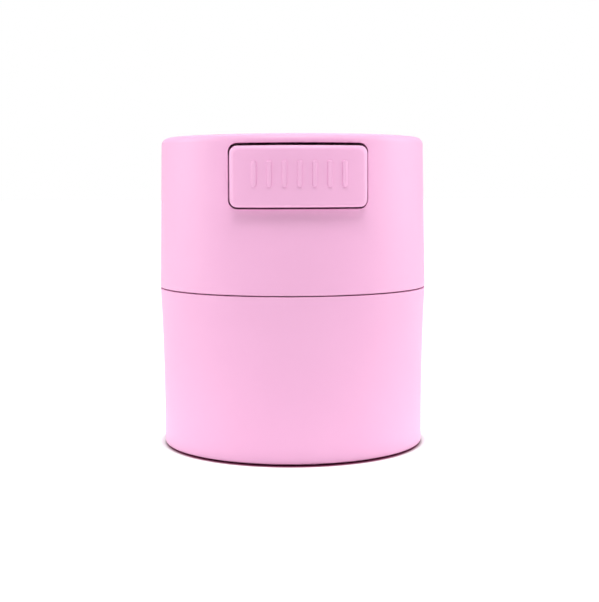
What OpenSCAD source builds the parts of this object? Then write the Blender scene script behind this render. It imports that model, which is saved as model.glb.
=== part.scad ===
// Vacuum storage canister with a push-button air valve.
//
// A cup stands in a tapered body shell and its neck rises past the seam. The cap slides down over
// the neck on a lip seal, like a piston. A button in the cap's side lifts a silicone disc off its
// seat, which lets air out as the cap goes down and lets air in again before the cap comes off.
//
// Millimetres. +Z is up, the origin is the middle of the foot, and the button faces -Y.

/* [Body] */
// Diameter of the canister at the seam between body and cap
seam_d = 66; // [65:0.5:68]
// Height of the seam above the resting face
seam_z = 39.05; // [34:0.05:40]
// Gap between the body's rim and the cap's rim
seam_gap = 0.3; // [0.2:0.05:0.5]
// How much smaller the body's radius is at the foot
body_taper = 0.75; // [0:0.05:1]
// Wall of the body shell
body_wall = 1.8; // [1.4:0.1:2]
// Height of the foot ring
foot_h = 0.45; // [0.4:0.05:1.2]
// How far the foot ring stands in from the body's side
foot_inset = 2.4; // [0.4:0.1:3]

/* [Cup] */
// Diameter of the cup's mouth
mouth_d = 53.2; // [50:0.2:54]
// How much smaller the cup's radius is at its floor
cup_taper = 0.4; // [0:0.1:0.8]
// Wall of the cup below its flange
cup_wall = 1.7; // [1.2:0.1:1.9]
// Diameter of the neck
neck_d = 58; // [57.6:0.1:58.4]
// Height of the neck above the body's rim
neck_h = 17.3; // [15:0.1:17.5]
// Radius of the corner between the cup's wall and floor
scoop_r = 3; // [1:0.5:5]

/* [Cap] */
// Height of the whole canister
total_h = 75.7; // [75:0.1:76]
// How much smaller the cap's radius is at the top
cap_taper = 0.7; // [0:0.05:0.8]
// Rounding of the cap's top edge
top_round = 1.8; // [0.6:0.1:1.8]
// Wall of the cap shell
cap_wall = 1.6; // [1.4:0.1:1.8]
// Thickness of the cap shell's top
top_wall = 1.9; // [1.6:0.1:2.2]
// Diameter of the liner's bore
bore_d = 59.2; // [59:0.1:59.4]

/* [Button] */
// Width of the button
button_w = 31.2; // [28:0.2:32]
// Height of the button
button_h = 13.8; // [12:0.2:14]
// Height of the button's middle above the resting face
button_z = 66; // [65.2:0.05:66.1]
// Corner radius of the button
button_corner = 1.7; // [1:0.1:3]
// Rounding of the edge around the button's face
button_round = 1.1; // [0.5:0.1:1.4]
// How far the face stands proud of the cap
button_proud = 2.2; // [1:0.1:3]
// Travel when the button is pressed
button_travel = 2; // [1.5:0.1:2.2]
// Gap at each side of the button
side_gap = 0.3; // [0.25:0.05:0.5]
// Gap above the button
gap_above = 0.7; // [0.3:0.05:0.75]
// Gap below the button
gap_below = 0.4; // [0.25:0.05:0.5]
// Number of raised grip bars on the face
bars = 7; // [3:1:9]

/* [Valve] */
// Diameter of the valve stem
stem_d = 2.2; // [1.6:0.1:2.6]
// Diameter of the air hole around the stem
hole_d = 3.6; // [3:0.1:4.2]
// Diameter of the silicone disc
disc_d = 8; // [7:0.5:9]
// Thickness of the silicone disc
disc_t = 1.6; // [1:0.1:2]

/* [Springs] */
// Diameter of the spring wire
wire_d = 0.5; // [0.4:0.05:0.6]
// Middle diameter of the coils
coil_d = 6.6; // [6.2:0.1:7]
// Number of turns, the closed end turns included
turns = 6; // [5:1:7]

/* [Hidden] */
$fn = 96;

shell_pink = "#f2b6d8";
liner_pink = "#eeb0d2";
silicone = "#e9e6e1";
acetal = "#f5f2ea";
steel = "#b9bcc0";

far = 50;            // reaches past the canister in any direction
edge_break = 0.2;    // small bevel on moulded rims
weld_gap = 0.05;     // between pieces that are bonded or snapped together
slip = 0.1;          // radial clearance of a sliding fit

// body
seam_r = seam_d / 2;
foot_r = seam_r - body_taper;
rim_z = seam_z - seam_gap / 2;
underside_z = foot_h + 0.2;
shell_floor_z = underside_z + body_wall;
foot_ring_w = 2.2;
side_steps = 10;

// cup
flange_t = 1.5;
flange_r = seam_r - 1.25;
flange_z = rim_z - flange_t;
neck_r = neck_d / 2;
neck_top = rim_z + neck_h;
mouth_r = mouth_d / 2;
cup_underside_z = shell_floor_z + 0.3;
cup_floor_z = cup_underside_z + cup_wall;
groove_h = 3;
groove_r = neck_r - 1.1;
groove_z = neck_top - 2.2 - groove_h;

// cap
cap_rim_z = seam_z + seam_gap / 2;
cap_top_r = seam_r - cap_taper;
ceiling_z = total_h - top_wall;
cap_in_rim_r = seam_r - cap_wall;
cap_in_top_r = cap_in_rim_r - 0.4;
snap_z = cap_rim_z + 5;
snap_in = 0.1;       // how far the snap bead's centre lies inside the liner's side

// liner
bore_r = bore_d / 2;
liner_rim_z = rim_z + weld_gap;
liner_side_gap = 0.15;
liner_rim_r = cap_in_rim_r - liner_side_gap;
liner_top_r = cap_in_top_r - liner_side_gap;
liner_top_z = ceiling_z - slip;
liner_ceiling_z = liner_top_z - 1.5;
deck_top_z = button_z - button_h / 2 - 0.85;
deck_t = 1.2;
deck_z = deck_top_z - deck_t;
chord_y = -17.6;     // the valve wall's face towards the cup
chord_t = 1.6;
pocket_y = chord_y - chord_t;

// button
cap_r_at_button = seam_r - cap_taper * (button_z - cap_rim_z) / (total_h - cap_rim_z);
face_r = cap_r_at_button + button_proud;
bar_proud = 0.35;
bar_w = 1.2;
bar_h = 6;
bar_step = 3.4;
bar_z = button_z + 0.6;
button_wall = 1.5;
skirt_y = -24.2;
window_w = button_w + 2 * side_gap;
window_h = button_h + gap_above + gap_below;
window_z = button_z + (gap_above - gap_below) / 2;
ear_x = 17.8;
ear_h = 10;
ear_t = 1.3;
ear_r = cap_in_top_r - 0.1;
post_x = 10;
post_r = 1.5;
post_root_r = 2.4;
post_tip_y = pocket_y - button_travel;
seat_y = pocket_y - 8;
seat_r = 4;
seat_t = 1;
socket_l = 4;
socket_r = post_r + slip;
socket_wall = 1;
socket_sink = 0.4;    // how deep the socket's bore goes into the valve wall

// valve
seat_lip = 0.4;
seat_lip_w = 0.6;
disc_y = chord_y + seat_lip + weld_gap;
stem_r = stem_d / 2;
stem_root_y = -29.4;
stem_boss_y = -26.4;
stem_head_r = stem_r + 0.9;
stem_head_l = 1.6;

// springs
spring_l = pocket_y - seat_y - 2 * weld_gap;
wire_sides = 6;
rings_per_turn = 16;

// ------------------------------------------------------------------ helpers

// A rounded rectangle with its middle at the origin.
module plate(w, h, r) {
    square([w - 2 * r, h], center = true);
    square([w, h - 2 * r], center = true);
    for (x = [-1, 1], z = [-1, 1])
        translate([x * (w / 2 - r), z * (h / 2 - r)]) circle(r);
}

// Extrudes a flat shape, drawn in X and Z, from y_back towards -Y.
module towards_front(y_back, length) {
    translate([0, y_back, 0]) rotate([90, 0, 0]) linear_extrude(length) children();
}

// A round bar along Y, from y_back towards -Y.
module rod(x, z, y_back, length, r) {
    translate([x, y_back, z]) rotate([90, 0, 0]) cylinder(h = length, r = r);
}

// The quarter of material that a rounding of radius r takes off the corner at the origin,
// for a shape that lies towards -X and -Y.
module corner_waste(r) {
    difference() {
        translate([-r, -r]) square(r + 1);
        translate([-r, -r]) circle(r);
    }
}

// ------------------------------------------------------------------ body

// The body's side stands almost upright and swells towards the rim.
function body_r(z) = foot_r + body_taper * pow(z / rim_z, 3);

module base_shell() {
    color(shell_pink) rotate_extrude() difference() {
        union() {
            polygon([
                [0, foot_h],
                [foot_r - edge_break, foot_h],
                for (i = [0:side_steps])
                    let (z = foot_h + 0.3 + (rim_z - edge_break - foot_h - 0.3) * i / side_steps)
                    [body_r(z), z],
                [seam_r - edge_break, rim_z],
                [0, rim_z]
            ]);
            square([foot_r - foot_inset, foot_h + edge_break]);
        }
        translate([0, -1]) square([foot_r - foot_inset - foot_ring_w, underside_z + 1]);
        polygon([
            [0, shell_floor_z],
            [foot_r - body_wall, shell_floor_z],
            [seam_r - body_wall, flange_z],
            [flange_r + weld_gap, flange_z],
            [flange_r + weld_gap, rim_z + 1],
            [0, rim_z + 1]
        ]);
    }
}

module inner_vessel() {
    cup_out_r = mouth_r - cup_taper + cup_wall;
    cup_in_r = mouth_r - cup_taper;
    color(shell_pink) rotate_extrude() difference() {
        union() {
            polygon([
                [0, cup_underside_z],
                [cup_out_r - 1, cup_underside_z],
                [cup_out_r, cup_underside_z + 1],
                [mouth_r + cup_wall, flange_z],
                [flange_r, flange_z],
                [flange_r, rim_z - edge_break],
                [flange_r - edge_break, rim_z],
                [neck_r, rim_z],
                [neck_r, neck_top - 0.6],
                [neck_r - 0.6, neck_top],
                [0, neck_top]
            ]);
        }
        difference() {
            polygon([
                [0, cup_floor_z],
                [cup_in_r, cup_floor_z],
                [mouth_r, neck_top - 0.5],
                [mouth_r + 0.5, neck_top],
                [mouth_r + 0.5, neck_top + 1],
                [0, neck_top + 1]
            ]);
            translate([cup_in_r, cup_floor_z]) mirror([0, 1]) corner_waste(scoop_r);
        }
        translate([groove_r, groove_z]) square([5, groove_h]);
    }
}

module seal_ring() {
    lip_r = 0.62;
    color(silicone) translate([0, 0, groove_z]) rotate_extrude() {
        translate([groove_r + weld_gap, slip]) square([0.9, groove_h - 2 * slip]);
        for (z = [0.78, groove_h - 0.78])
            translate([bore_r - weld_gap - lip_r, z]) circle(lip_r);
    }
}

// ------------------------------------------------------------------ cap

module cap_shell() {
    top_r = cap_top_r;
    color(shell_pink) difference() {
        rotate_extrude() difference() {
            polygon([
                [0, cap_rim_z],
                [seam_r - edge_break, cap_rim_z],
                [seam_r, cap_rim_z + edge_break],
                [top_r, total_h],
                [0, total_h]
            ]);
            translate([top_r, total_h]) corner_waste(top_round);
            polygon([
                [0, cap_rim_z - 1],
                [cap_in_rim_r, cap_rim_z - 1],
                [cap_in_rim_r, cap_rim_z],
                [cap_in_top_r, ceiling_z],
                [0, ceiling_z]
            ]);
            translate([liner_rim_r - snap_in, snap_z]) circle(0.7);
        }
        translate([0, 0, window_z]) towards_front(-20, far)
            plate(window_w, window_h, button_corner + side_gap);
    }
}

// The liner before its chamber and pocket are cut: a plug with the snap bead around it.
module liner_blank() {
    rotate_extrude() {
        polygon([
            [0, liner_rim_z],
            [liner_rim_r, liner_rim_z],
            [liner_top_r, liner_top_z],
            [0, liner_top_z]
        ]);
        translate([liner_rim_r - snap_in, snap_z]) circle(0.55);
    }
}

// The air space: the bore that takes the neck, and the room above it behind the valve wall.
module chamber() {
    translate([0, 0, liner_rim_z - 1]) cylinder(h = deck_z - liner_rim_z + 1, r = bore_r);
    intersection() {
        translate([0, 0, deck_z - 1]) cylinder(h = liner_ceiling_z - deck_z + 1, r = bore_r);
        translate([-far, chord_y, 0]) cube([2 * far, 2 * far, 2 * far]);
    }
}

// The liner closes the air chamber. Its flat valve wall and the deck under it leave a dry pocket
// for the button behind the cap's window.
module cap_liner() {
    color(liner_pink) difference() {
        union() {
            difference() {
                liner_blank();
                chamber();
                translate([-far, pocket_y - far, deck_top_z]) cube([2 * far, far, far]);
            }
            for (side = [-1, 1])
                rod(side * post_x, button_z, pocket_y + 0.5, socket_l + 0.5,
                    socket_r + socket_wall);
            rod(0, button_z, chord_y + seat_lip, seat_lip + 0.5, hole_d / 2 + seat_lip_w);
        }
        for (side = [-1, 1])
            rod(side * post_x, button_z, pocket_y + socket_sink, socket_l + 1, socket_r);
        rod(0, button_z, chord_y + 1, chord_t + 2, hole_d / 2);
    }
}

// ------------------------------------------------------------------ button and valve

// One slice of the button's outside: a plate that ends in a face of radius r.
module face_slice(inset, r) {
    intersection() {
        translate([0, 0, button_z]) towards_front(skirt_y, far)
            plate(button_w - 2 * inset, button_h - 2 * inset, button_corner - inset / 2, $fn = 32);
        cylinder(h = far * 2, r = r);
    }
}

module push_button() {
    shoulder_r = face_r - button_round;
    color(shell_pink) {
        difference() {
            hull() {
                face_slice(0, shoulder_r);
                face_slice(button_round * (1 - cos(45)), shoulder_r + button_round * sin(45));
                face_slice(button_round, face_r);
            }
            intersection() {
                translate([0, 0, button_z]) towards_front(0, far)
                    plate(button_w - 2 * button_wall, button_h - 2 * button_wall, 0.6);
                cylinder(h = far * 2, r = shoulder_r - button_wall + button_round);
            }
        }
        grip_bars();
        for (side = [-1, 1]) {
            ear(side);
            guide_post(side);
        }
        difference() {
            intersection() {
                rod(0, button_z, stem_boss_y, far, 2.4);
                cylinder(h = far * 2, r = face_r - 0.4);
            }
            rod(0, button_z, 0, -stem_root_y, stem_r);
        }
    }
}

// Raised bars across the face give the thumb a grip.
module grip_bars() {
    straight = bar_h - bar_w;
    for (i = [0:bars - 1]) intersection() {
        translate([(i - (bars - 1) / 2) * bar_step, 0, bar_z]) towards_front(-30, far) {
            square([bar_w, straight], center = true);
            for (z = [-1, 1]) translate([0, z * straight / 2]) circle(bar_w / 2);
        }
        difference() {
            cylinder(h = far * 2, r = face_r + bar_proud);
            cylinder(h = far * 2, r = face_r - 0.4);
        }
    }
}

// An ear behind the cap's wall keeps the button in its window.
module ear(side) {
    intersection() {
        translate([side * (ear_x + button_w / 2 - 1) / 2, -far / 2, button_z])
            cube([ear_x - button_w / 2 + 1, far, ear_h], center = true);
        difference() {
            cylinder(h = far * 2, r = ear_r);
            cylinder(h = far * 2, r = ear_r - ear_t);
        }
    }
}

module guide_post(side) {
    intersection() {
        rod(side * post_x, button_z, seat_y, far, post_root_r);
        cylinder(h = far * 2, r = face_r - 0.4);
    }
    rod(side * post_x, button_z, seat_y, seat_t, seat_r);
    rod(side * post_x, button_z, post_tip_y, post_tip_y - seat_y + 0.5, post_r);
}

module valve_stem() {
    head_y = disc_y + disc_t;
    color(acetal) {
        rod(0, button_z, head_y + 0.1, head_y + 0.1 - stem_root_y - weld_gap, stem_r - 0.02);
        translate([0, head_y + weld_gap, button_z]) rotate([-90, 0, 0])
            cylinder(h = stem_head_l, r1 = stem_head_r, r2 = stem_r - 0.4);
    }
}

module valve_disc() {
    color(silicone) difference() {
        rod(0, button_z, disc_y + disc_t, disc_t, disc_d / 2);
        rod(0, button_z, disc_y + disc_t + 1, disc_t + 2, stem_r);
    }
}

// ------------------------------------------------------------------ springs

// Distance along the spring's axis after t turns: the first and last turn lie closed.
function spring_y(t) =
    let (closed = wire_d * 1.04,
         open = (spring_l - wire_d - 2 * closed) / (turns - 2))
    t < 1 ? closed * t
    : t < turns - 1 ? closed + open * (t - 1)
    : closed + open * (turns - 2) + closed * (t - turns + 1);

function wire_ring(t) =
    let (a = 360 * t, middle = coil_d / 2, y = spring_y(t) + wire_d / 2)
    [for (k = [0:wire_sides - 1])
        let (b = 360 * k / wire_sides, r = middle + wire_d / 2 * cos(b))
        [r * cos(a), -y - wire_d / 2 * sin(b), r * sin(a)]];

module return_spring(side) {
    count = turns * rings_per_turn;
    points = [for (i = [0:count]) each wire_ring(i / rings_per_turn)];
    skin = [for (i = [0:count - 1], k = [0:wire_sides - 1])
        let (a = i * wire_sides, b = a + wire_sides, n = (k + 1) % wire_sides)
        [a + k, a + n, b + n, b + k]];
    start_cap = [for (k = [wire_sides - 1:-1:0]) k];
    end_cap = [for (k = [0:wire_sides - 1]) count * wire_sides + k];
    color(steel) translate([side * post_x, pocket_y - weld_gap, button_z])
        polyhedron(points, concat(skin, [start_cap, end_cap]), convexity = 10);
}

// ------------------------------------------------------------------ nodes

base_shell();
inner_vessel();
seal_ring();
cap_shell();
cap_liner();
push_button();
valve_stem();
valve_disc();
return_spring(-1);  // return_spring_left
return_spring(1);  // return_spring_right
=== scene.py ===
# %% [markdown]
# # A vacuum storage canister
#
# This lesson dresses a small pink canister whose mechanics are already fixed: a cup in a tapered
# body, a cap that slides over the cup's neck on a lip seal, and a button in the cap's side that
# opens an air valve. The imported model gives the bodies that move. Each visible piece is built here
# as a clean, smooth mesh and then told which body it rides on.

# %% Load the frame
import math

import bmesh
import bpy
from mathutils import Matrix, Vector


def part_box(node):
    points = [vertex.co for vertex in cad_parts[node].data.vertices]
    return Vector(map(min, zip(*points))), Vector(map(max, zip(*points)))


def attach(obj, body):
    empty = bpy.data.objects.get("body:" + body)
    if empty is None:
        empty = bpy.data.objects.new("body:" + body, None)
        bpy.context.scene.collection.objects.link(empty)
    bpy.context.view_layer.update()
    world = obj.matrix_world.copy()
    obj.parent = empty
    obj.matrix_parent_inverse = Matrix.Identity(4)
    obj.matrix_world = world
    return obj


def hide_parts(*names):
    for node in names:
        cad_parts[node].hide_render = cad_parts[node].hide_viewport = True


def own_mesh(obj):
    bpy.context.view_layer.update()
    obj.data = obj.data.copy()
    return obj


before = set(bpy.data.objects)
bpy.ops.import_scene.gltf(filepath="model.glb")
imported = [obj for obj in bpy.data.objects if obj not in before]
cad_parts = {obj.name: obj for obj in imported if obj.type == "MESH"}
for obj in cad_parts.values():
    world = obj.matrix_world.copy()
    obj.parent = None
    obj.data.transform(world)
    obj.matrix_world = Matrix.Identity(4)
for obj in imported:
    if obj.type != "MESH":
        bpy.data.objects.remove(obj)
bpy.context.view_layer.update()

# %% [markdown]
# ## Sizes
#
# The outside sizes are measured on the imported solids, so the looks can't drift away from the
# mechanics. The rest are the same figures that the solids were drawn with. They are kept in
# millimetres, because that is how a moulder thinks, and turned to metres as a mesh is made.

# %% Sizes measured on the solids
MM = 0.001
rim_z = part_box("base_shell")[1].z / MM
seam_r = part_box("cap_shell")[1].x / MM
cap_rim_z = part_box("cap_shell")[0].z / MM
total_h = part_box("cap_shell")[1].z / MM
neck_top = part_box("inner_vessel")[1].z / MM
button_low, button_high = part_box("push_button")
button_z = (button_low.z + button_high.z) / 2 / MM
button_h = (button_high.z - button_low.z) / MM
print(f"seam {2 * seam_r:.2f} mm across at {rim_z:.2f} mm, {total_h:.2f} mm tall in all")

# %% Sizes the solids were drawn with
body_taper, body_wall, swell_power = 0.75, 1.8, 3
foot_r = seam_r - body_taper
cap_taper, cap_wall, top_wall, top_round = 0.7, 1.6, 1.9, 1.8
mouth_r, cup_taper, cup_wall, neck_r = 26.6, 0.4, 1.7, 29.0
bore_r = 29.6
button_w, button_corner, button_round, button_proud = 31.2, 1.7, 1.1, 2.2
window_w = button_w + 0.6
window_low, window_high = button_z - button_h / 2 - 0.4, button_z + button_h / 2 + 0.7
pocket_y, chord_y = -19.2, -17.6
travel = 2.0
print(f"window {window_w:.1f} by {window_high - window_low:.1f} mm, button {button_h:.1f} mm high")

# %% [markdown]
# ## Two small helpers
#
# `add` puts one node into any tree, with its settings and its links, so that a material or a
# Geometry Nodes tree reads from top to bottom. `finish_piece` gives a mesh its place in the scene,
# its smooth shading with crisp edges, and the body it rides on.

# %% Add a node
def add(tree, kind, inputs=None, **settings):
    """Add a node. `inputs` maps a socket's name or number to a value or to an output to link."""
    node = tree.nodes.new(kind)
    for name, value in settings.items():
        setattr(node, name, value)
    for name, value in (inputs or {}).items():
        if isinstance(value, bpy.types.NodeSocket):
            tree.links.new(value, node.inputs[name])
        else:
            node.inputs[name].default_value = value
    return node


# %% Finish a piece
def finish_piece(name, mesh, material, body, replaces=(), crease=35):
    """Link a mesh as a piece, shade it, and tie it to its body."""
    piece = bpy.data.objects.new(name, mesh)
    bpy.context.scene.collection.objects.link(piece)
    mesh.name = name
    mesh.materials.clear()
    mesh.materials.append(material)
    mesh.shade_smooth()
    mesh.set_sharp_from_angle(angle=math.radians(crease))
    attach(piece, body)
    if replaces:
        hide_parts(*replaces)
    solid = bmesh.new()
    solid.from_mesh(mesh)
    open_edges = sum(1 for e in solid.edges if len(e.link_faces) != 2)
    print(f"{name}: {len(mesh.polygons)} faces, {solid.calc_volume(signed=True) * 1e9:.0f} mm3,"
          f" {open_edges} open edges")
    solid.free()
    return piece


# %% [markdown]
# ## Plastics, silicone and wire
#
# The shells are injection-moulded ABS. The mould was spark-eroded, which leaves a fine even grain
# that scatters the gloss into a soft sheen. The colour is mixed into the plastic, so it hardly
# varies: only a faint cloudiness where the melt flowed. A painted texture could carry this, but two
# noises on the object's own coordinates do it with no seams at any zoom.

# %% Colours
def linear(hex_colour):
    """Turn an sRGB hex colour into the linear values that a shader works in."""
    channels = [int(hex_colour[i:i + 2], 16) / 255 for i in (1, 3, 5)]
    curve = [c / 12.92 if c <= 0.04045 else ((c + 0.055) / 1.055) ** 2.4 for c in channels]
    return (*curve, 1.0)


def start_material(name):
    """A node material with only its Principled shader and its object coordinates."""
    material = bpy.data.materials.new(name)
    material.use_nodes = True
    tree = material.node_tree
    shader = tree.nodes["Principled BSDF"]
    place = add(tree, "ShaderNodeTexCoord").outputs["Object"]
    return material, tree, shader, place


# %% The moulded plastics
def moulded_plastic(name, light, deep, roughness, grain_mm, grain_height_mm, ior=1.53):
    """Opaque moulded plastic: flow clouds in the colour and an even grain in the surface."""
    material, tree, shader, place = start_material(name)
    clouds = add(tree, "ShaderNodeTexNoise",
                 {"Vector": place, "Scale": 1 / (18 * MM), "Detail": 3.0, "Roughness": 0.55})
    colour = add(tree, "ShaderNodeMix", {0: clouds.outputs["Fac"], 6: linear(deep),
                                         7: linear(light)}, data_type="RGBA")
    grain = add(tree, "ShaderNodeTexNoise",
                {"Vector": place, "Scale": 1 / (grain_mm * MM), "Detail": 2.0, "Roughness": 0.6})
    sheen_spread = add(tree, "ShaderNodeMapRange",
                       {"Value": grain.outputs["Fac"], "From Min": 0.3, "From Max": 0.7,
                        "To Min": roughness - 0.04, "To Max": roughness + 0.05})
    bump = add(tree, "ShaderNodeBump", {"Height": grain.outputs["Fac"], "Strength": 1.0,
                                        "Distance": grain_height_mm * MM})
    tree.links.new(colour.outputs[2], shader.inputs["Base Color"])
    tree.links.new(sheen_spread.outputs["Result"], shader.inputs["Roughness"])
    tree.links.new(bump.outputs["Normal"], shader.inputs["Normal"])
    shader.inputs["IOR"].default_value = ior
    return material


# A grain of 0.1 mm is too fine to show, so it is drawn at 0.3 mm.
pink_abs = moulded_plastic("pink_ABS_spark_eroded", "#ECB1D6", "#E9ACD2", 0.47, 0.3, 0.012)
# The inner pieces come out of a polished mould, so they are smoother.
pink_abs_inner = moulded_plastic("pink_ABS_polished_mould", "#EBAACB", "#E6A2C5", 0.33, 0.6, 0.004)
# Acetal is slippery and hard, a little waxy to the eye.
acetal = moulded_plastic("natural_acetal", "#F3EFE4", "#EAE6DA", 0.36, 0.4, 0.005, ior=1.48)

# %% Milky silicone
# Silicone is milky right through, so light spreads a little inside it, and fine dust clings to
# its skin and dulls the gloss in clouds.
silicone, tree, shader, place = start_material("milky_silicone")
dust = add(tree, "ShaderNodeTexNoise", {"Vector": place, "Scale": 1 / (1.2 * MM), "Detail": 4.0})
colour = add(tree, "ShaderNodeMix", {0: dust.outputs["Fac"], 6: linear("#DDDAD3"),
                                     7: linear("#ECEAE4")}, data_type="RGBA")
bloom = add(tree, "ShaderNodeMapRange", {"Value": dust.outputs["Fac"], "To Min": 0.3,
                                         "To Max": 0.5})
skin = add(tree, "ShaderNodeBump", {"Height": dust.outputs["Fac"], "Strength": 1.0,
                                    "Distance": 0.008 * MM})
tree.links.new(colour.outputs[2], shader.inputs["Base Color"])
tree.links.new(bloom.outputs["Result"], shader.inputs["Roughness"])
tree.links.new(skin.outputs["Normal"], shader.inputs["Normal"])
shader.inputs["IOR"].default_value = 1.41
shader.inputs["Subsurface Weight"].default_value = 0.35
shader.inputs["Subsurface Radius"].default_value = (1.0, 0.9, 0.8)
shader.inputs["Subsurface Scale"].default_value = 1.0 * MM

# %% Drawn spring wire
# Wire pulled through a die keeps a bright grey skin with fine marks. The marks are far finer than
# can show, so they are drawn at 0.15 mm.
spring_wire, tree, shader, place = start_material("drawn_spring_wire")
marks = add(tree, "ShaderNodeTexNoise", {"Vector": place, "Scale": 1 / (0.15 * MM), "Detail": 3.0})
colour = add(tree, "ShaderNodeMix", {0: marks.outputs["Fac"], 6: linear("#A9A9A6"),
                                     7: linear("#C9C8C4")}, data_type="RGBA")
polish = add(tree, "ShaderNodeMapRange", {"Value": marks.outputs["Fac"], "To Min": 0.2,
                                          "To Max": 0.4})
scratch = add(tree, "ShaderNodeBump", {"Height": marks.outputs["Fac"], "Strength": 1.0,
                                       "Distance": 0.003 * MM})
tree.links.new(colour.outputs[2], shader.inputs["Base Color"])
tree.links.new(polish.outputs["Result"], shader.inputs["Roughness"])
tree.links.new(scratch.outputs["Normal"], shader.inputs["Normal"])
shader.inputs["Metallic"].default_value = 1.0
print("materials:", [m.name for m in bpy.data.materials])

# %% [markdown]
# ## Turned shapes
#
# Most pieces are round, so each one is an outline carried round the canister's axis. The Screw
# modifier or `bmesh.ops.spin` would do that too. A Geometry Nodes tree is used because it can also
# hold the rule that shapes the body: the wall swells towards the rim with a power of the height, as
# a moulding does when its draft is blended into a straight rim. The sizes stay open as inputs.
#
# The tree lays a flat grid of points, reads the outline's point for each row, and places it at
# the angle of its column. Merging closes the seam and the poles.

# %% The tree for turned pieces
def start_tree(name, inputs):
    """A Geometry Nodes tree with named inputs; returns it with its input and output nodes."""
    tree = bpy.data.node_groups.new(name, "GeometryNodeTree")
    face = tree.interface
    face.new_socket("Geometry", in_out="INPUT", socket_type="NodeSocketGeometry")
    for label, kind in inputs.items():
        face.new_socket(label, in_out="INPUT", socket_type="NodeSocket" + kind)
    face.new_socket("Geometry", in_out="OUTPUT", socket_type="NodeSocketGeometry")
    return tree, add(tree, "NodeGroupInput"), add(tree, "NodeGroupOutput")


turning, given, result = start_tree(
    "turned_piece", {"Columns": "Int", "Swell": "Float", "Swell Power": "Float",
                     "Rim Height": "Float", "Material": "Material"})
points = add(turning, "GeometryNodeAttributeDomainSize",
             {"Geometry": given.outputs["Geometry"]}, component="MESH")
round_the_axis = add(turning, "ShaderNodeMath", {0: given.outputs["Columns"], 1: 1.0},
                     operation="ADD")
grid = add(turning, "GeometryNodeMeshGrid",
           {"Vertices X": points.outputs["Point Count"],
            "Vertices Y": round_the_axis.outputs[0]})
index = add(turning, "GeometryNodeInputIndex")
part_row = add(turning, "ShaderNodeMath", {0: index.outputs[0], 1: round_the_axis.outputs[0]},
               operation="DIVIDE")
nudged = add(turning, "ShaderNodeMath", {0: part_row.outputs[0], 1: 1e-4}, operation="ADD")
row = add(turning, "ShaderNodeMath", {0: nudged.outputs[0]}, operation="FLOOR")
whole_rows = add(turning, "ShaderNodeMath", {0: row.outputs[0], 1: round_the_axis.outputs[0]},
                 operation="MULTIPLY")
column = add(turning, "ShaderNodeMath", {0: index.outputs[0], 1: whole_rows.outputs[0]},
             operation="SUBTRACT")
step = add(turning, "ShaderNodeMath", {0: -math.tau, 1: given.outputs["Columns"]},
           operation="DIVIDE")
angle = add(turning, "ShaderNodeMath", {0: column.outputs[0], 1: step.outputs[0]},
            operation="MULTIPLY")
here = add(turning, "GeometryNodeInputPosition")
outline_point = add(turning, "GeometryNodeSampleIndex",
                    {"Geometry": given.outputs["Geometry"], "Value": here.outputs[0],
                     "Index": row.outputs[0]}, data_type="FLOAT_VECTOR")
radius_height = add(turning, "ShaderNodeSeparateXYZ", {0: outline_point.outputs[0]})
share = add(turning, "ShaderNodeMath",
            {0: radius_height.outputs["Z"], 1: given.outputs["Rim Height"]}, operation="DIVIDE")
curve = add(turning, "ShaderNodeMath", {0: share.outputs[0], 1: given.outputs["Swell Power"]},
            operation="POWER")
swell = add(turning, "ShaderNodeMath", {0: curve.outputs[0], 1: given.outputs["Swell"]},
            operation="MULTIPLY")
off_axis = add(turning, "ShaderNodeMath", {0: radius_height.outputs["X"], 1: 0.001},
               operation="GREATER_THAN")
swell_here = add(turning, "ShaderNodeMath", {0: swell.outputs[0], 1: off_axis.outputs[0]},
                 operation="MULTIPLY")
radius = add(turning, "ShaderNodeMath",
             {0: radius_height.outputs["X"], 1: swell_here.outputs[0]}, operation="ADD")
spoke = add(turning, "ShaderNodeCombineXYZ",
            {"Y": radius.outputs[0], "Z": radius_height.outputs["Z"]})
turned = add(turning, "ShaderNodeVectorRotate",
             {"Vector": spoke.outputs[0], "Angle": angle.outputs[0]}, rotation_type="Z_AXIS")
placed = add(turning, "GeometryNodeSetPosition",
             {"Geometry": grid.outputs["Mesh"], "Position": turned.outputs[0]})
closed = add(turning, "GeometryNodeMergeByDistance",
             {"Geometry": placed.outputs[0], "Distance": 0.0005 * MM})
real = add(turning, "GeometryNodeRealizeInstances", {"Geometry": closed.outputs[0]})
dressed = add(turning, "GeometryNodeSetMaterial",
              {"Geometry": real.outputs[0], "Material": given.outputs["Material"]})
turning.links.new(dressed.outputs[0], result.inputs[0])
print("tree:", turning.name, "with", len(turning.nodes), "nodes")


# %% Run a tree and keep its plain mesh
def grow(tree, values, start):
    """Run a tree on a starting mesh with its inputs set, and return the result as a plain mesh."""
    holder = bpy.data.objects.new("holder", start)
    bpy.context.scene.collection.objects.link(holder)
    modifier = holder.modifiers.new("tree", "NODES")
    modifier.node_group = tree
    for socket in tree.interface.items_tree:
        if socket.in_out == "INPUT" and socket.name in values:
            modifier[socket.identifier] = values[socket.name]
    graph = bpy.context.evaluated_depsgraph_get()
    mesh = bpy.data.meshes.new_from_object(holder.evaluated_get(graph), depsgraph=graph)
    holder.modifiers.remove(modifier)
    bpy.data.objects.remove(holder)
    return mesh


def turn(outline, material, columns=192, swell=0.0):
    """Carry an outline of (radius, height) points, in millimetres, round the axis."""
    wire = bpy.data.meshes.new("outline")
    wire.from_pydata([(r * MM, 0, z * MM) for r, z in outline],
                     [(i, i + 1) for i in range(len(outline) - 1)], [])
    return grow(turning, {"Columns": columns, "Swell": swell * MM, "Swell Power": swell_power,
                          "Rim Height": rim_z * MM, "Material": material}, wire)


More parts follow.
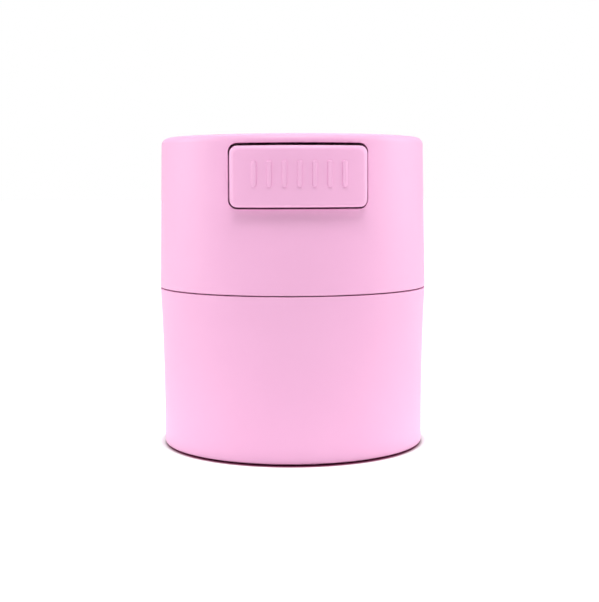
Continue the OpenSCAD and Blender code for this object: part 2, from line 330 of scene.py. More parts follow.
# %% [markdown]
# ## Outlines with real corners
#
# No moulded edge is perfectly sharp, and it is the small rounding that catches the light. An
# outline is listed as corners with a radius each, and `rounded` replaces each corner with an arc.
# It also puts a point a little way before and after the arc, which keeps the smooth shading of the
# arc from bleeding over the flat faces next to it. Outlines run up the outside and down the
# inside, so that the faces point outwards.

# %% Round an outline
def rounded(corners, steps=6, support=0.3):
    """Round each (x, y, radius) corner of an open outline."""
    outline = []
    for i, (x, y, radius) in enumerate(corners):
        corner = Vector((x, y))
        if radius == 0:
            outline.append((x, y))
            continue
        before = Vector(corners[i - 1][:2]) - corner
        after = Vector(corners[i + 1][:2]) - corner
        half = before.angle(after) / 2
        reach = radius / math.tan(half)
        middle = corner + (before.normalized() + after.normalized()).normalized() \
            * (radius / math.sin(half))
        first = corner + before.normalized() * reach - middle
        last = corner + after.normalized() * reach - middle
        start = math.atan2(first.y, first.x)
        sweep = (math.atan2(last.y, last.x) - start + math.pi) % math.tau - math.pi
        outline.append(tuple(corner + before.normalized()
                             * (reach + min(support, 0.4 * (before.length - reach)))))
        for k in range(steps + 1):
            a = start + sweep * k / steps
            outline.append((middle.x + radius * math.cos(a), middle.y + radius * math.sin(a)))
        outline.append(tuple(corner + after.normalized()
                             * (reach + min(support, 0.4 * (after.length - reach)))))
    return outline


def straight(start, end, steps):
    """Points with no rounding along a line, both ends included."""
    return [(start[0] + (end[0] - start[0]) * k / steps,
             start[1] + (end[1] - start[1]) * k / steps, 0) for k in range(steps + 1)]


# %% [markdown]
# ## The body shell
#
# The lower half of the outside. It stands on a narrow foot ring set in from the side, which leaves a
# thin shadowed gap under it, and the underside is recessed so that the moulding can't rock. The thin
# dark line that all such canisters have under them comes partly from this real shadow and partly
# from a contact shadow painted on the floor. The wall follows the swelling rule, so the tree makes
# it.

# %% Body shell
def before_swell(radius, z):
    """The radius that the rule will swell to the one asked for."""
    return radius - body_taper * (z / rim_z) ** swell_power


foot_ring_r, foot_ring_w, foot_h = foot_r - 2.4, 2.2, 0.45
recess_z = foot_h + 0.2
floor_z = recess_z + body_wall
shelf_r, flange_z = seam_r - body_wall, rim_z - 1.5
rabbet_r = seam_r - 1.2
body_outline = rounded([
    (0, recess_z, 0), (foot_ring_r - foot_ring_w, recess_z, 0.15),
    (foot_ring_r - foot_ring_w, 0, 0.2), (foot_ring_r, 0, 0.2), (foot_ring_r, foot_h, 0.1),
    (foot_r, foot_h, 0.26), *straight((foot_r, 2), (foot_r, rim_z - 1.2), 30),
    (foot_r, rim_z, 0.2), (before_swell(rabbet_r, rim_z), rim_z, 0.1),
    (before_swell(rabbet_r, flange_z), flange_z, 0),
    (before_swell(shelf_r, flange_z), flange_z, 0),
    (foot_r - body_wall, floor_z, 1.0), (0, floor_z, 0)])
finish_piece("body_shell", turn(body_outline, pink_abs, swell=body_taper), pink_abs, "base",
             ["base_shell"])

# %% [markdown]
# ## The cup and its neck
#
# The cup holds the goods. Its flange sits in a rabbet in the body's rim, and its neck stands up
# past the seam with a groove for the seal. It shows only when the cap is off, so it is made as
# carefully as the outside: a rounded lip, a scooped floor and a slightly tapered wall.

# %% Cup
groove_h = 3.0
groove_r = neck_r - 1.1
groove_z = neck_top - 2.2 - groove_h
cup_bottom = floor_z + 0.3
cup_floor = cup_bottom + cup_wall
flange_r = seam_r - 1.25
cup_outline = rounded([
    (0, cup_bottom, 0), (mouth_r - cup_taper + cup_wall, cup_bottom, 1.0),
    (mouth_r + cup_wall, flange_z, 0.2), (flange_r, flange_z, 0),
    (flange_r, rim_z, 0.2), (neck_r, rim_z, 0.15), (neck_r, groove_z, 0.15),
    (groove_r, groove_z, 0.1), (groove_r, groove_z + groove_h, 0.1),
    (neck_r, groove_z + groove_h, 0.15), (neck_r, neck_top, 0.6), (mouth_r, neck_top, 0.5),
    (mouth_r - cup_taper, cup_floor, 3.0), (0, cup_floor, 0)])
finish_piece("cup", turn(cup_outline, pink_abs_inner), pink_abs_inner, "base",
             ["inner_vessel"])

# %% [markdown]
# ## The lip seal
#
# A silicone ring with two soft lips. Two lips seal better than one, because the first wipes dust
# off the bore. Its section is a flat strip with two round beads, drawn as one closed outline.

# %% Lip seal
lip_r = 0.62
strip_in, strip_out = groove_r + 0.05, groove_r + 0.95
bead_r = bore_r - 0.05 - lip_r
lean = math.acos((strip_out - bead_r) / lip_r)
strip_low, strip_high = groove_z + 0.1, groove_z + groove_h - 0.1
bead_in, bead_steps = 0.78, 12
seal_outline = [(strip_in, strip_high), (strip_in, strip_low), (strip_out, strip_low)]
for bead_z in (groove_z + bead_in, groove_z + groove_h - bead_in):
    for k in range(bead_steps + 1):
        a = -lean + 2 * lean * k / bead_steps
        seal_outline.append((bead_r + lip_r * math.cos(a), bead_z + lip_r * math.sin(a)))
seal_outline += [(strip_out, strip_high), (strip_in, strip_high)]
finish_piece("lip_seal", turn(seal_outline, silicone), silicone, "seal",
             ["seal_ring"])

# %% [markdown]
# ## The cap shell and its window
#
# The cap is a turned cup with a rounded rectangle cut through its wall for the button. A Boolean
# would cut it, but it leaves long thin faces round the cut that spoil the smooth shading of a wall
# seen this close. Here the wall is laid out flat, as angle and height, with a patch of rings
# that blend from the window's outline to a plain rectangle of the wall's own grid. Then it is
# wrapped round the axis, and the window's edge gets its small rounding.

# %% A rounded rectangle as a ring of points
def rounded_rectangle(width, height, corner, across=40, up=18, bend=3):
    """Points round a rectangle, from the lower left: `across` and `up` steps on its sides."""
    ring = []
    x, z = width / 2 - corner, height / 2 - corner
    for turn_no, (cx, cz, steps) in enumerate(
            [(-x, -z, across), (x, -z, up), (x, z, across), (-x, z, up)]):
        a0 = 225 + 90 * turn_no
        nx, nz = [(x, -z), (x, z), (-x, z), (-x, -z)][turn_no]
        for k in range(bend):
            a = math.radians(a0 + 45 * k / bend)
            ring.append((cx + corner * math.cos(a), cz + corner * math.sin(a)))
        side = math.radians(a0 + 45)
        ox, oz = corner * math.cos(side), corner * math.sin(side)
        for k in range(steps - 2 * bend):
            t = k / (steps - 2 * bend)
            ring.append((cx + ox + (nx - cx) * t, cz + oz + (nz - cz) * t))
        for k in range(bend):
            a = math.radians(a0 + 45 + 45 * k / bend)
            ring.append((nx + corner * math.cos(a), nz + corner * math.sin(a)))
    return ring


# %% Meshes from rings
class Skin:
    """Collects points in millimetres and faces, and ends as one merged mesh in metres."""

    def __init__(self):
        self.points, self.faces = [], []

    def ring(self, points):
        """Add a ring of points and return their numbers."""
        first = len(self.points)
        self.points += points
        return list(range(first, len(self.points)))

    def join(self, a, b, closed=True):
        """Faces between two rings of the same length."""
        for i in range(len(a) if closed else len(a) - 1):
            j = (i + 1) % len(a)
            self.faces.append((a[i], a[j], b[j], b[i]))

    def fill(self, ring, across, up, lift, flip=False):
        """Fill a rounded rectangle's ring with a grid blended from its four sides."""
        flat = [(self.points[i][0], self.points[i][2]) for i in ring]
        low = flat[:across + 1]
        right = flat[across:across + up + 1]
        top = flat[across + up:2 * across + up + 1][::-1]
        left = (flat[2 * across + up:] + flat[:1])[::-1]
        rows = []
        for j in range(up + 1):
            v = j / up
            line = []
            for i in range(across + 1):
                u = i / across
                x, z = (
                    (1 - v) * low[i][c] + v * top[i][c] + (1 - u) * left[j][c] + u * right[j][c]
                    - (1 - u) * (1 - v) * low[0][c] - u * (1 - v) * low[-1][c]
                    - (1 - u) * v * top[0][c] - u * v * top[-1][c] for c in (0, 1))
                line.append((x, lift(x, z), z))
            rows.append(self.ring(line))
        for a, b in zip(rows, rows[1:]):
            self.join(*((b, a) if flip else (a, b)), closed=False)

    def mesh(self, name, merge_mm=0.002):
        """The merged mesh, with its faces pointing outwards."""
        shape = bmesh.new()
        points = [shape.verts.new(Vector(p) * MM) for p in self.points]
        for face in self.faces:
            shape.faces.new([points[i] for i in face])
        bmesh.ops.remove_doubles(shape, verts=shape.verts, dist=merge_mm * MM)
        bmesh.ops.recalc_face_normals(shape, faces=shape.faces)
        mesh = bpy.data.meshes.new(name)
        shape.to_mesh(mesh)
        shape.free()
        return mesh


# %% The cap's outline, as rows of its grid
COLUMNS, ACROSS, UP = 192, 40, 18
patch_angle = math.tau / COLUMNS * ACROSS / 2
patch_low, mid_z = 56.0, 50
ceiling_z = total_h - top_wall


def cap_r(z):
    """Outer radius of the cap at a height."""
    return seam_r - cap_taper * max(0.0, z - cap_rim_z - 0.2) / (total_h - cap_rim_z - 0.2)


def cap_in_r(z):
    """Inner radius of the cap at a height."""
    return seam_r - cap_wall - 0.4 * (z - cap_rim_z) / (ceiling_z - cap_rim_z)


def rows_between(radius, low, high, steps):
    """Rows of the grid up a wall, both ends included."""
    return [(radius(low + (high - low) * k / steps), low + (high - low) * k / steps)
            for k in range(steps + 1)]


patch_high_out, patch_high_in = window_high + 0.22, window_high + 0.1
outer_low = rounded([(cap_in_r(cap_rim_z), cap_rim_z, 0), (seam_r, cap_rim_z, 0.2),
                     (cap_r(mid_z), mid_z, 0)])
outer_patch = rows_between(cap_r, patch_low, patch_high_out, UP)
outer_high = rounded([(*outer_patch[-1], 0), (cap_r(total_h), total_h, top_round),
                      (0, total_h, 0)], steps=12)[1:]
inner_high = [(0, ceiling_z), (20, ceiling_z), (cap_in_r(ceiling_z), ceiling_z)]
inner_patch = rows_between(cap_in_r, patch_low, patch_high_in, UP)[::-1]
inner_low = [(cap_in_r(mid_z), mid_z), (cap_in_r(cap_rim_z), cap_rim_z)]
print(f"cap radius {cap_r(total_h):.2f} mm at the top, {cap_r(button_z):.2f} mm at the button")

# %% Wrap the cap's wall and cut its window
skin = Skin()


def wrapped(radius, theta, z):
    """A point of the wall at an angle from the button's middle."""
    return (radius * math.sin(theta), -radius * math.cos(theta), z)


rows = outer_low + outer_patch + outer_high + inner_high + inner_patch + inner_low
grid_rows = [skin.ring([wrapped(r, math.tau * c / COLUMNS, z) for c in range(COLUMNS)])
             for r, z in rows]
first_out = len(outer_low)
first_in = first_out + len(outer_patch) + len(outer_high) + len(inner_high)
patch_rows = set(range(first_out, first_out + UP)) | set(range(first_in, first_in + UP))
for n, (a, b) in enumerate(zip(grid_rows, grid_rows[1:])):
    if rows[n][0] == rows[n + 1][0] == 0:
        continue
    for c in range(COLUMNS):
        in_patch = c < ACROSS // 2 or c >= COLUMNS - ACROSS // 2
        if not (n in patch_rows and in_patch):
            d = (c + 1) % COLUMNS
            skin.faces.append((a[c], a[d], b[d], b[c]))


def patch_ring(radius, high, inset, share):
    """A ring between the window's outline and the patch's edge, on the wall of that radius."""
    points = []
    outline = rounded_rectangle(window_w + 2 * inset, window_high - window_low + 2 * inset,
                                button_corner + 0.3 + inset)
    centre = (window_low + window_high) / 2
    edge = [(-patch_angle + 2 * patch_angle * k / ACROSS, patch_low) for k in range(ACROSS)]
    edge += [(patch_angle, patch_low + (high - patch_low) * k / UP) for k in range(UP)]
    edge += [(-theta, high + patch_low - z) for theta, z in edge]
    for (x, z), (theta, edge_z) in zip(outline, edge):
        z += centre
        t = math.asin(x / radius(z))
        theta, z = t + (theta - t) * share, z + (edge_z - z) * share
        points.append(wrapped(radius(z), theta, z))
    return points


edge_round, edge_steps = 0.12, 5
loops = [skin.ring(patch_ring(cap_r, patch_high_out, edge_round, s))
         for s in (1.0, 0.7, 0.4, 0.15, 0.0)]
for k in range(1, edge_steps + 1):
    a = math.radians(90 * k / edge_steps)
    ring = patch_ring(cap_r, patch_high_out, edge_round * (1 - math.sin(a)), 0.0)
    loops.append(skin.ring([(x, y + edge_round * (1 - math.cos(a)), z) for x, y, z in ring]))
loops += [skin.ring(patch_ring(cap_in_r, patch_high_in, 0.0, s)) for s in (0.0, 0.3, 0.65, 1.0)]
for a, b in zip(loops, loops[1:]):
    skin.join(a, b)
finish_piece("cap_shell_moulding", skin.mesh("cap_shell_moulding"), pink_abs, "cap",
             ["cap_shell"])

# %% [markdown]
# ## The cap's liner
#
# The liner is the part of the cap that holds the air: the bore over the neck, the ceiling, the flat
# valve wall and the sockets that guide the button. Only the bore and the wall show, from below with
# the cap lifted. Its solid already has the right shape, but as loose triangles, which would shade
# as facets. A merged copy keeps the shape and shades smoothly.

# %% Liner
loose = bmesh.new()
loose.from_mesh(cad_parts["cap_liner"].data)
bmesh.ops.remove_doubles(loose, verts=loose.verts, dist=0.0005 * MM)
bmesh.ops.dissolve_limit(loose, angle_limit=math.radians(0.4), verts=loose.verts,
                         edges=loose.edges)
liner_mesh = bpy.data.meshes.new("cap_liner_moulding")
loose.to_mesh(liner_mesh)
loose.free()
finish_piece("cap_liner_moulding", liner_mesh, pink_abs_inner, "cap",
             ["cap_liner"], crease=25)

# %% [markdown]
# ## The push button
#
# A shallow box whose face bends with the cap and stands proud of it, with a soft rounding all round
# so that the thumb finds no edge. It could be a bevelled cube bent by a modifier, but the bevel
# would bend unevenly. Instead it is a stack of rounded-rectangle rings: each ring is a little
# smaller and sits on a slightly larger cylinder, which makes the rounding even on all four
# sides.

# %% Button shell
face_r = cap_r(button_z) + button_proud
shoulder_r = face_r - button_round
skirt_y, shell_wall, round_steps = -24.2, 1.5, 8


def button_ring(inset, radius=None, y=None):
    """A ring of the button, on a cylinder of that radius or in a flat plane at y."""
    ring = rounded_rectangle(button_w - 2 * inset, button_h - 2 * inset,
                             max(0.3, button_corner - inset / 2))
    return [(x, y if radius is None else -math.sqrt(radius ** 2 - x ** 2), z + button_z)
            for x, z in ring]


button = Skin()
hollow_r = shoulder_r - 0.4
stack = [button_ring(shell_wall, hollow_r), button_ring(shell_wall, y=skirt_y),
         button_ring(0, y=skirt_y), button_ring(0, shoulder_r - 3), button_ring(0, shoulder_r - 0.3)]
for k in range(round_steps + 1):
    a = math.radians(90 * k / round_steps)
    stack.append(button_ring(button_round * (1 - math.cos(a)),
                             shoulder_r + button_round * math.sin(a)))
stack.append(button_ring(button_round + 0.3, face_r))
stack = [button.ring(points) for points in stack]
for a, b in zip(stack, stack[1:]):
    button.join(a, b)
button.fill(stack[-1], ACROSS, UP, lambda x, z: -math.sqrt(face_r ** 2 - x ** 2))
button.fill(stack[0], ACROSS, UP, lambda x, z: -math.sqrt(hollow_r ** 2 - x ** 2), flip=True)


# %% [markdown]
# ## What holds the button
#
# Behind the face are two ears that catch behind the cap's wall, two posts that run in the liner's
# sockets with a seat for each spring, and a boss that grips the valve stem. They are moulded in
# one piece with the button, so they join its mesh as closed shapes that sink into it.

# %% Posts, boss and ears
def spun(skin, x, outline, columns=48):
    """A shape turned about a line along Y at that x: the outline is (radius, y) points."""
    rings = [skin.ring([(x + r * math.cos(math.tau * c / columns), y,
                         button_z + r * math.sin(math.tau * c / columns))
                        for c in range(columns)]) for r, y in outline]
    for a, b in zip(rings, rings[1:]):
        skin.join(a, b)


def ear(skin, side):
    """A curved tab behind the cap's wall, from 1 mm inside the button's end outwards."""
    outer, inner, half = cap_in_r(ceiling_z) - 0.1, cap_in_r(ceiling_z) - 1.4, 5.0
    length, steps = 3.4, 8
    xs = [side * (button_w / 2 - 1 + length * k / steps) for k in range(steps + 1)]
    section = [(outer, -half), (outer, half), (inner, half), (inner, -half)]
    rings = [skin.ring([(x, -math.sqrt(r ** 2 - x ** 2), button_z + z) for r, z in section])
             for x in xs]
    for a, b in zip(rings, rings[1:]):
        skin.join(a, b)
    skin.faces += [tuple(rings[0]), tuple(rings[-1][::-1])]


# The posts and the boss end inside the face's thickness, where they can't show.
post_x, post_r, root_r, post_root_y = 10.0, 1.5, 2.4, -32.2
seat_y, seat_r, seat_thick = pocket_y - 8, 4.0, 1.0
stem_hole_r, socket_end_y, boss_y, boss_root_y = 1.1, -29.4, -26.4, -34
for side in (-1, 1):
    spun(button, side * post_x, rounded([
        (0, pocket_y - travel, 0), (post_r, pocket_y - travel, 0.4), (post_r, seat_y, 0.1),
        (seat_r, seat_y, 0.15), (seat_r, seat_y - seat_thick, 0.15),
        (root_r, seat_y - seat_thick, 0.1), (root_r, post_root_y, 0), (0, post_root_y, 0)],
        steps=4, support=0.1))
    ear(button, side)
spun(button, 0, rounded([
    (0, socket_end_y, 0), (stem_hole_r, socket_end_y, 0), (stem_hole_r, boss_y, 0),
    (root_r, boss_y, 0.2), (root_r, boss_root_y, 0), (0, boss_root_y, 0)],
    steps=4, support=0.1))
finish_piece("push_button_moulding", button.mesh("push_button_moulding"), pink_abs, "button",
             ["push_button"])

# %% [markdown]
# ## Grip bars
#
# Seven low bars across the face give the thumb something to hold. One bar is drawn flat, as a pill
# with softened edges, and a Geometry Nodes tree repeats it along the button and bends the row round
# the face. An Array with a Simple Deform would do as well, but the tree bends each point by
# the same rule as the face, so the bars stand exactly as high at the ends as in the middle.

# %% One bar, drawn flat
bar_w, bar_h, bar_relief, bar_sink, bar_edge, bar_steps = 1.2, 6.0, 0.35, 0.3, 0.32, 5
bar_count, bar_pitch, bar_lift = 7, 3.4, 0.6


def pill(inset, y, points=16):
    """A ring round an upright pill, at a height y above the face (towards -Y)."""
    r, half = bar_w / 2 - inset, (bar_h - bar_w) / 2
    ring = []
    for end, start in ((half, 0.0), (-half, math.pi)):
        for k in range(points + 1):
            a = start + math.pi * k / points
            ring.append((r * math.cos(a), -y, end + r * math.sin(a)))
    return ring


bar = Skin()
levels = [(0.0, -bar_sink), (0.0, 0.0)]
for k in range(1, bar_steps + 1):
    a = math.radians(90 * k / bar_steps)
    levels.append((bar_edge * (1 - math.cos(a)), bar_relief - bar_edge * (1 - math.sin(a))))
levels += [(bar_w / 2 - 0.2, bar_relief), (bar_w / 2 - 0.05, bar_relief)]
rings = [bar.ring(pill(inset, y)) for inset, y in levels]
for a, b in zip(rings, rings[1:]):
    bar.join(a, b)
for ring in (rings[0], rings[-1]):
    count = len(ring)
    for k in range(count // 2 - 1):
        bar.faces.append((ring[k], ring[k + 1], ring[count - 2 - k], ring[count - 1 - k]))
one_bar = bar.mesh("one_bar")
print("one bar:", len(one_bar.polygons), "faces")

# %% The tree that repeats and bends it
bending, given, result = start_tree(
    "bars_round_a_face", {"Count": "Int", "Pitch": "Float", "Face Radius": "Float",
                          "Height": "Float", "Material": "Material"})
gaps = add(bending, "ShaderNodeMath", {0: given.outputs["Count"], 1: 1.0}, operation="SUBTRACT")
length = add(bending, "ShaderNodeMath", {0: gaps.outputs[0], 1: given.outputs["Pitch"]},
             operation="MULTIPLY")
half_back = add(bending, "ShaderNodeMath", {0: length.outputs[0], 1: -0.5}, operation="MULTIPLY")
begin = add(bending, "ShaderNodeCombineXYZ",
            {"X": half_back.outputs[0], "Z": given.outputs["Height"]})
apart = add(bending, "ShaderNodeCombineXYZ", {"X": given.outputs["Pitch"]})
line = add(bending, "GeometryNodeMeshLine",
           {"Count": given.outputs["Count"], "Start Location": begin.outputs[0],
            "Offset": apart.outputs[0]})
row_of_bars = add(bending, "GeometryNodeInstanceOnPoints",
                  {"Points": line.outputs[0], "Instance": given.outputs["Geometry"]})
real = add(bending, "GeometryNodeRealizeInstances", {"Geometry": row_of_bars.outputs[0]})
flat = add(bending, "ShaderNodeSeparateXYZ",
           {0: add(bending, "GeometryNodeInputPosition").outputs[0]})
r_squared = add(bending, "ShaderNodeMath",
                {0: given.outputs["Face Radius"], 1: 2.0}, operation="POWER")
x_squared = add(bending, "ShaderNodeMath", {0: flat.outputs["X"], 1: flat.outputs["X"]},
                operation="MULTIPLY")
rest_squared = add(bending, "ShaderNodeMath", {0: r_squared.outputs[0], 1: x_squared.outputs[0]},
                   operation="SUBTRACT")
depth = add(bending, "ShaderNodeMath", {0: rest_squared.outputs[0]}, operation="SQRT")
bent_y = add(bending, "ShaderNodeMath", {0: flat.outputs["Y"], 1: depth.outputs[0]},
             operation="SUBTRACT")
bent = add(bending, "ShaderNodeCombineXYZ",
           {"X": flat.outputs["X"], "Y": bent_y.outputs[0], "Z": flat.outputs["Z"]})
placed = add(bending, "GeometryNodeSetPosition",
             {"Geometry": real.outputs[0], "Position": bent.outputs[0]})
dressed = add(bending, "GeometryNodeSetMaterial",
              {"Geometry": placed.outputs[0], "Material": given.outputs["Material"]})
bending.links.new(dressed.outputs[0], result.inputs[0])
print("tree:", bending.name, "with", len(bending.nodes), "nodes")

# %% Seven bars
bars = grow(bending, {"Count": bar_count, "Pitch": bar_pitch * MM, "Face Radius": face_r * MM,
                      "Height": (button_z + bar_lift) * MM, "Material": pink_abs}, one_bar)
finish_piece("grip_bars", bars, pink_abs, "button")

# %% [markdown]
# ## Return springs
#
# Each spring is wound from round wire, with its end turns closed so that they sit flat. A Screw
# modifier can only wind an even pitch. The tree bends a straight line of points into the coil, and
# three terms give the height: a closed turn, the open turns, and a closed turn again.

# %% The tree that winds a spring
coil_turns, points_per_turn = 6, 40
winding, given, result = start_tree(
    "wound_spring", {"Turns": "Float", "Coil Radius": "Float", "Wire Radius": "Float",
                     "Length": "Float", "Closed Pitch": "Float", "Material": "Material"})
rod = add(winding, "GeometryNodeCurvePrimitiveLine")
fine = add(winding, "GeometryNodeResampleCurve",
           {"Curve": rod.outputs[0], "Count": coil_turns * points_per_turn + 1})
factor = add(winding, "GeometryNodeSplineParameter")
turns_done = add(winding, "ShaderNodeMath",
                 {0: factor.outputs["Factor"], 1: given.outputs["Turns"]}, operation="MULTIPLY")
angle = add(winding, "ShaderNodeMath", {0: turns_done.outputs[0], 1: math.tau},
            operation="MULTIPLY")
first_turn = add(winding, "ShaderNodeMath", {0: turns_done.outputs[0], 1: 1.0},
                 operation="MINIMUM")
open_count = add(winding, "ShaderNodeMath", {0: given.outputs["Turns"], 1: 2.0},
                 operation="SUBTRACT")
after_first = add(winding, "ShaderNodeMath", {0: turns_done.outputs[0], 1: first_turn.outputs[0]},
                  operation="SUBTRACT")
open_turns = add(winding, "ShaderNodeMath", {0: after_first.outputs[0], 1: open_count.outputs[0]},
                 operation="MINIMUM")
last_turn = add(winding, "ShaderNodeMath", {0: after_first.outputs[0], 1: open_turns.outputs[0]},
                operation="SUBTRACT")
closed_turns = add(winding, "ShaderNodeMath", {0: first_turn.outputs[0], 1: last_turn.outputs[0]},
                   operation="ADD")
closed_rise = add(winding, "ShaderNodeMath",
                  {0: closed_turns.outputs[0], 1: given.outputs["Closed Pitch"]},
                  operation="MULTIPLY")
both_closed = add(winding, "ShaderNodeMath", {0: given.outputs["Closed Pitch"], 1: -2.0},
                  operation="MULTIPLY")
wire_thick = add(winding, "ShaderNodeMath", {0: given.outputs["Wire Radius"], 1: -2.0},
                 operation="MULTIPLY")
taken = add(winding, "ShaderNodeMath", {0: both_closed.outputs[0], 1: wire_thick.outputs[0]},
            operation="ADD")
open_length = add(winding, "ShaderNodeMath", {0: given.outputs["Length"], 1: taken.outputs[0]},
                  operation="ADD")
open_pitch = add(winding, "ShaderNodeMath",
                 {0: open_length.outputs[0], 1: open_count.outputs[0]}, operation="DIVIDE")
open_rise = add(winding, "ShaderNodeMath", {0: open_turns.outputs[0], 1: open_pitch.outputs[0]},
                operation="MULTIPLY")
rise = add(winding, "ShaderNodeMath", {0: closed_rise.outputs[0], 1: open_rise.outputs[0]},
           operation="ADD")
middle = add(winding, "ShaderNodeMath", {0: rise.outputs[0], 1: given.outputs["Wire Radius"]},
             operation="ADD")
arm = add(winding, "ShaderNodeCombineXYZ",
          {"X": given.outputs["Coil Radius"], "Z": middle.outputs[0]})
coiled = add(winding, "ShaderNodeVectorRotate",
             {"Vector": arm.outputs[0], "Angle": angle.outputs[0]}, rotation_type="Z_AXIS")
coil = add(winding, "GeometryNodeSetPosition",
           {"Geometry": fine.outputs[0], "Position": coiled.outputs[0]})
section = add(winding, "GeometryNodeCurvePrimitiveCircle",
              {"Resolution": 12, "Radius": given.outputs["Wire Radius"]})
wire = add(winding, "GeometryNodeCurveToMesh",
           {"Curve": coil.outputs[0], "Profile Curve": section.outputs[0], "Fill Caps": True})
real = add(winding, "GeometryNodeRealizeInstances", {"Geometry": wire.outputs[0]})
dressed = add(winding, "GeometryNodeSetMaterial",
              {"Geometry": real.outputs[0], "Material": given.outputs["Material"]})
winding.links.new(dressed.outputs[0], result.inputs[0])
print("tree:", winding.name, "with", len(winding.nodes), "nodes")

# %% Wind both springs
coil_r, spring_wire_r, closed_pitch, end_gap = 3.3, 0.25, 0.52, 0.05
spring_length = pocket_y - seat_y - 2 * end_gap
for side, name in ((-1, "left"), (1, "right")):
    coil_mesh = grow(winding, {"Turns": float(coil_turns), "Coil Radius": coil_r * MM,
                               "Wire Radius": spring_wire_r * MM, "Length": spring_length * MM,
                               "Closed Pitch": closed_pitch * MM, "Material": spring_wire},
                     bpy.data.meshes.new("start"))
    start = Vector((side * post_x, pocket_y - end_gap, button_z)) * MM
    coil_mesh.transform(Matrix.Translation(start) @ Matrix.Rotation(math.radians(90), 4, "X"))
    spring = finish_piece(f"return_spring_{name}_wire", coil_mesh, spring_wire, "cap",
                          [f"return_spring_{name}"], crease=60)
    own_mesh(spring)

# %% [markdown]
# ## Valve stem and disc
#
# The stem pulls the silicone disc off its seat when the button is pressed. Both are turned about
# the button's axis, so they use the turning tree and are then laid on their side.

# %% Stem and disc
# Heights here are distances in front of the axis, because the turned shapes are laid down later.
lay_down = Matrix.Translation((0, 0, button_z * MM)) @ Matrix.Rotation(math.radians(90), 4, "X")
disc_r, disc_thick, disc_face = 4.0, 1.6, -(chord_y + 0.45)
disc_back = disc_face - disc_thick
stem_r, head_r, tip_r = 1.08, 2.0, 0.7
head_top, head_end, stem_end = disc_back - 0.05, disc_back - 1.65, -socket_end_y - 0.05
stem_mesh = turn(rounded([(0, head_end, 0), (tip_r, head_end, 0.2), (head_r, head_top, 0.1),
                          (stem_r, head_top, 0), (stem_r, stem_end, 0.15), (0, stem_end, 0)],
                         steps=3, support=0.1), acetal, columns=48)
stem_mesh.transform(lay_down)
finish_piece("valve_stem_pin", stem_mesh, acetal, "button", ["valve_stem"])
disc_mesh = turn(rounded([(stem_hole_r, disc_back, 0), (disc_r, disc_back, 0.5),
                          (disc_r, disc_face, 0.2), (stem_hole_r, disc_face, 0),
                          (stem_hole_r, disc_back, 0)], steps=4, support=0.1),
                 silicone, columns=96)
disc_mesh.transform(lay_down)
finish_piece("valve_disc_pad", disc_mesh, silicone, "button", ["valve_disc"])

# %% [markdown]
# ## Floor and light
#
# A small product is usually shown on a bright sweep with large soft lights at both sides. The floor
# is plain and pale, and its glow is painted light, standing in for the light that a lit sweep throws
# back. A patch of glow near the canister throws light up its side, and the glow rises again far
# away, so that the floor fades into the white around it. Right at the foot the glow is left out and
# a contact shadow is painted into the floor's colour: a dark ring that gives the thin contact line,
# and reaches a little further forward than back. The surroundings are bright where the camera or a
# reflection sees them, and dim where they would only wash out the shadows.

# %% Floor
floor_mesh = bpy.data.meshes.new("floor")
half_m = 6
floor_mesh.from_pydata([(-half_m, -half_m, 0), (half_m, -half_m, 0), (half_m, half_m, 0),
                        (-half_m, half_m, 0)], [], [(0, 1, 2, 3)])
floor = bpy.data.objects.new("floor", floor_mesh)
bpy.context.scene.collection.objects.link(floor)
sweep, tree, shader, place = start_material("white_paper_sweep")
shade_forward = 1.2
from_middle = add(tree, "ShaderNodeVectorMath", {0: place}, operation="LENGTH")
# The floor's emission is painted light: a glow patch near the canister and a far glow, both left out
# right at the foot.
clear_of_foot = add(tree, "ShaderNodeMapRange",
                    {"Value": from_middle.outputs["Value"], "From Min": (foot_r + 0.7) * MM,
                     "From Max": (foot_r + 3) * MM})
patch = add(tree, "ShaderNodeMapRange",
            {"Value": from_middle.outputs["Value"], "From Min": (foot_r + 20) * MM,
             "From Max": (foot_r + 70) * MM, "To Min": 0.45, "To Max": 0.0},
            interpolation_type="SMOOTHSTEP")
far = add(tree, "ShaderNodeMapRange",
          {"Value": from_middle.outputs["Value"], "From Min": 0.1, "From Max": 1.5,
           "To Min": 0.18, "To Max": 1.1})
both = add(tree, "ShaderNodeMath", {0: patch.outputs["Result"], 1: far.outputs["Result"]},
           operation="ADD")
glow = add(tree, "ShaderNodeMath", {0: both.outputs[0], 1: clear_of_foot.outputs["Result"]},
           operation="MULTIPLY")
tree.links.new(glow.outputs[0], shader.inputs["Emission Strength"])
# Painted contact shadow: the floor's colour turns dark plum in a ring round the foot, centred a
# little forward of the axis.
from_shade = add(tree, "ShaderNodeVectorMath", {0: place, 1: (0, -shade_forward * MM, 0)},
                 operation="DISTANCE")
lit = add(tree, "ShaderNodeMapRange",
          {"Value": from_shade.outputs["Value"], "From Min": (foot_r - 0.8) * MM,
           "From Max": (foot_r + 0.3) * MM})
floor_colour_with_painted_shadow = add(tree, "ShaderNodeMix", {0: lit.outputs["Result"], 6: linear("#86375C"),
                                    7: linear("#EDEDED")}, data_type="RGBA")
tree.links.new(floor_colour_with_painted_shadow.outputs[2], shader.inputs["Base Color"])
shader.inputs["Roughness"].default_value = 0.9
shader.inputs["Emission Color"].default_value = (1, 1, 1, 1)
floor_mesh.materials.append(sweep)
print("floor:", 2 * half_m, "m square")

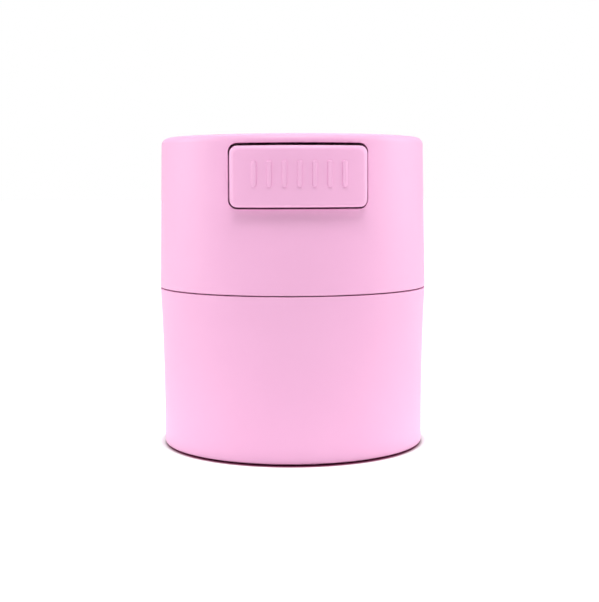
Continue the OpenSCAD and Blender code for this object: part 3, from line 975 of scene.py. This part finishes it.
# %% Light
world = bpy.data.worlds.new("studio")
bpy.context.scene.world = world
world.use_nodes = True
sky = world.node_tree
sky.nodes.clear()
dim, mirrored, bright = (
    add(sky, "ShaderNodeBackground", {"Color": (1, 1, 1, 1), "Strength": strength})
    for strength in (0.05, 0.65, 1.0))
seen = add(sky, "ShaderNodeLightPath")
on_things = add(sky, "ShaderNodeMixShader", {0: seen.outputs["Is Glossy Ray"],
                                             1: dim.outputs[0], 2: mirrored.outputs[0]})
either = add(sky, "ShaderNodeMixShader", {0: seen.outputs["Is Camera Ray"],
                                          1: on_things.outputs[0], 2: bright.outputs[0]})
add(sky, "ShaderNodeOutputWorld", {0: either.outputs[0]})


aim = Vector((0, 0, 0.04))


def softbox(name, place, power, wide, deep):
    """A rectangular soft light that faces the canister's middle."""
    lamp = bpy.data.lights.new(name, "AREA")
    lamp.shape = "RECTANGLE"
    lamp.energy, lamp.size, lamp.size_y = power, wide, deep
    box = bpy.data.objects.new(name, lamp)
    box.location = place
    box.rotation_euler = (aim - Vector(place)).to_track_quat("-Z", "Y").to_euler()
    bpy.context.scene.collection.objects.link(box)


softbox("left_softbox", (-0.8, 0.14, 0.35), 3.5, 0.6, 0.6)
softbox("right_softbox", (0.8, 0.12, 0.35), 3.9, 0.6, 0.6)
softbox("front_overhead_softbox", (0.0, -0.34, 0.85), 7.0, 0.7, 0.27)
softbox("back_overhead_softbox", (0.0, 0.4, 0.75), 2.2, 0.8, 0.4)
print("lights:", [light.name for light in bpy.data.lights])

# %% [markdown]
# ## Camera
#
# A short telephoto view from just below the cap's top, tilted a few degrees down, from a little to
# the left of the button's middle.

# %% Camera
lens = bpy.data.cameras.new("camera")
lens.sensor_width = 36
lens.lens = 73.9
camera = bpy.data.objects.new("camera", lens)
around, distance, height = math.radians(2.7), 0.310, 0.06345
tilt_down, roll, pan = math.radians(5.23), math.radians(0.21), math.radians(0.33)
camera.location = (-distance * math.sin(around), -distance * math.cos(around), height)
camera.rotation_euler = (math.radians(90) - tilt_down, roll, -around - pan)
camera.rotation_mode = "XYZ"
bpy.context.scene.collection.objects.link(camera)
bpy.context.scene.camera = camera
print(f"camera: {lens.lens} mm lens, {distance:.2f} m from the axis")
bpy.context.scene.view_settings.view_transform = "Standard"
